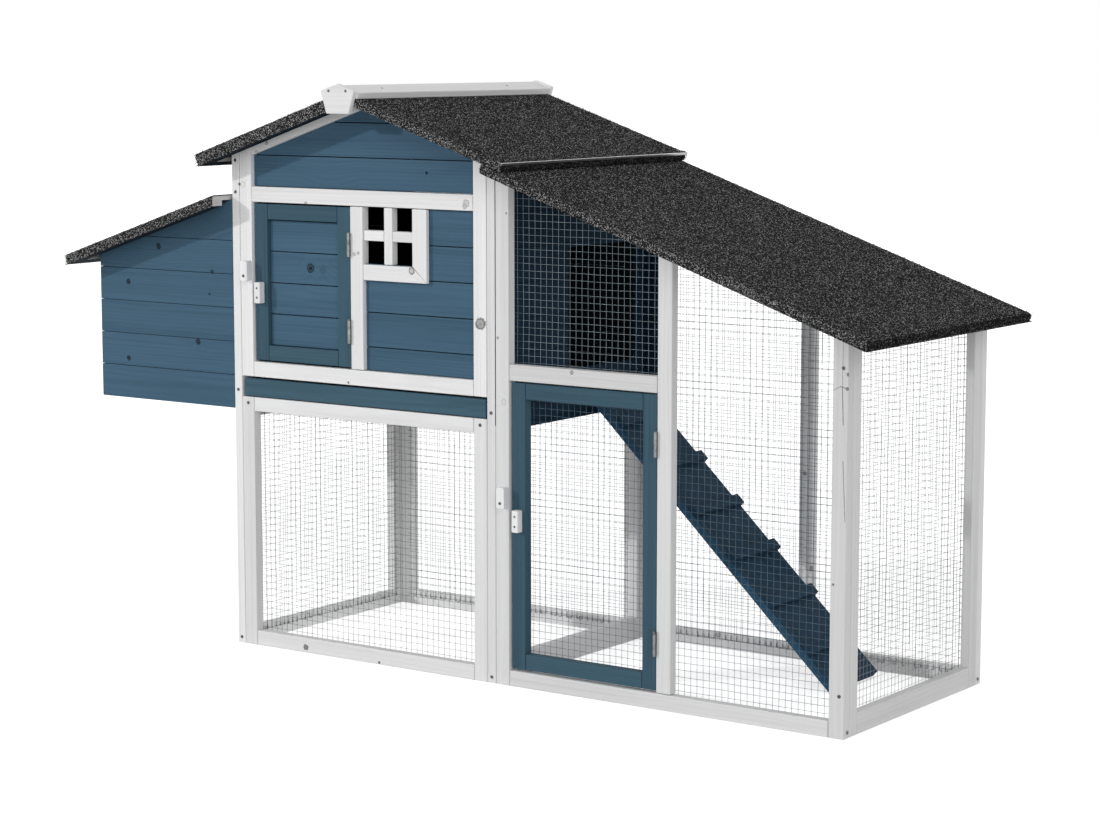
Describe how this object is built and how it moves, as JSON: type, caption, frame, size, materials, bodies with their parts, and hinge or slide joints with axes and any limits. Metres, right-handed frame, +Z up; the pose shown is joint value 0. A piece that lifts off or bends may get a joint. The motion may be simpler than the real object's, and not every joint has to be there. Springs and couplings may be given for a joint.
{
  "type": "chicken coop with run",
  "caption": "Timber hen house on legs with a felted gable roof, a side nest box, a lean-to wire run, hinged doors, a pull-out tray and a ramp.",
  "frame": {"origin": "middle of the whole coop's footprint, on the ground", "axes": "+X from the nest box to the run's free end, +Y from the front to the back, +Z up"},
  "size_m": [1.805, 0.63, 1.084],
  "materials": {
    "white_timber": "painted satin",
    "blue_timber": "stained matt",
    "plain_timber": "bare",
    "roof_felt": "mineral surfaced bitumen felt",
    "wire_mesh": "galvanised",
    "hinge_steel": "galvanised",
    "screw_steel": "zinc plated",
    "drip_metal": "folded sheet"
  },
  "bodies": {
    "frame": {"left_panel_frame": "white_timber", "house_front_frame": "white_timber", "house_rear_frame": "white_timber", "window_bars": "white_timber", "lower_front_frame": "white_timber", "lower_rear_frame": "white_timber", "partition_frame": "white_timber", "run_front_frame": "white_timber", "run_rear_frame": "white_timber", "run_end_frame": "white_timber", "ridge_boards": "white_timber", "ridge_end_blocks": "white_timber", "left_panel_boards": "blue_timber", "house_front_boards": "blue_timber", "house_rear_boards": "blue_timber", "partition_boards": "blue_timber", "nest_front_wall": "blue_timber", "nest_rear_wall": "blue_timber", "nest_end_wall": "blue_timber", "tray_runners": "plain_timber", "nest_floor": "plain_timber", "roof_left_deck": "plain_timber", "roof_left_battens": "plain_timber", "roof_right_deck": "plain_timber", "run_roof_deck": "plain_timber", "roof_left_felt": "roof_felt", "roof_right_felt": "roof_felt", "run_roof_felt": "roof_felt", "left_panel_mesh": "wire_mesh", "lower_front_mesh": "wire_mesh", "lower_rear_mesh": "wire_mesh", "run_front_mesh": "wire_mesh", "run_upper_mesh": "wire_mesh", "run_rear_mesh": "wire_mesh", "run_end_mesh": "wire_mesh", "frame_hinge_leaves": "hinge_steel", "hinge_pins": "hinge_steel", "frame_screws": "screw_steel", "latch_screws": "screw_steel", "roof_drip_edge": "drip_metal"},
    "house_door": {"house_door_frame": "blue_timber", "house_door_boards": "blue_timber", "house_door_keeper": "white_timber", "house_door_hinge_leaves": "hinge_steel"},
    "run_door": {"run_door_frame": "blue_timber", "run_door_mesh": "wire_mesh", "run_door_keeper": "white_timber", "run_door_hinge_leaves": "hinge_steel"},
    "house_latch": {"house_latch_button": "white_timber"},
    "run_latch": {"run_latch_button": "white_timber"},
    "tray": {"tray_fascia": "blue_timber", "tray_pan": "plain_timber"},
    "nest_lid": {"nest_lid_deck": "plain_timber", "nest_lid_battens": "plain_timber", "nest_lid_felt": "roof_felt", "nest_lid_hinge_leaves": "hinge_steel"},
    "ramp": {"ramp_plank": "blue_timber", "ramp_cleats": "blue_timber", "ramp_hinge_leaves": "hinge_steel"}
  },
  "joints": [
    {"name": "house_door_hinge", "type": "hinge", "parent": "frame", "child": "house_door", "pos_m": [-0.2146, -0.2583, 0.706], "axis": [0, 0, 1], "range_deg": [0, 165]},
    {"name": "run_door_hinge", "type": "hinge", "parent": "frame", "child": "run_door", "pos_m": [0.4642, -0.2583, 0.294], "axis": [0, 0, 1], "range_deg": [0, 165]},
    {"name": "house_latch_turn", "type": "hinge", "parent": "frame", "child": "house_latch", "pos_m": [-0.4628, -0.255, 0.718], "axis": [0, -1, 0], "range_deg": [-90, 0]},
    {"name": "run_latch_turn", "type": "hinge", "parent": "frame", "child": "run_latch", "pos_m": [0.1402, -0.255, 0.337], "axis": [0, -1, 0], "range_deg": [-90, 0]},
    {"name": "tray_slide", "type": "slide", "parent": "frame", "child": "tray", "axis": [0, -1, 0], "range_m": [0, 0.42]},
    {"name": "nest_lid_hinge", "type": "hinge", "parent": "frame", "child": "nest_lid", "pos_m": [-0.5058, 0, 0.8743], "axis": [0, 1, 0], "range_deg": [0, 65]},
    {"name": "ramp_hinge", "type": "hinge", "parent": "frame", "child": "ramp", "pos_m": [0.1228, 0.112, 0.5203], "axis": [0, -1, 0], "range_deg": [0, 15]}
  ]
}
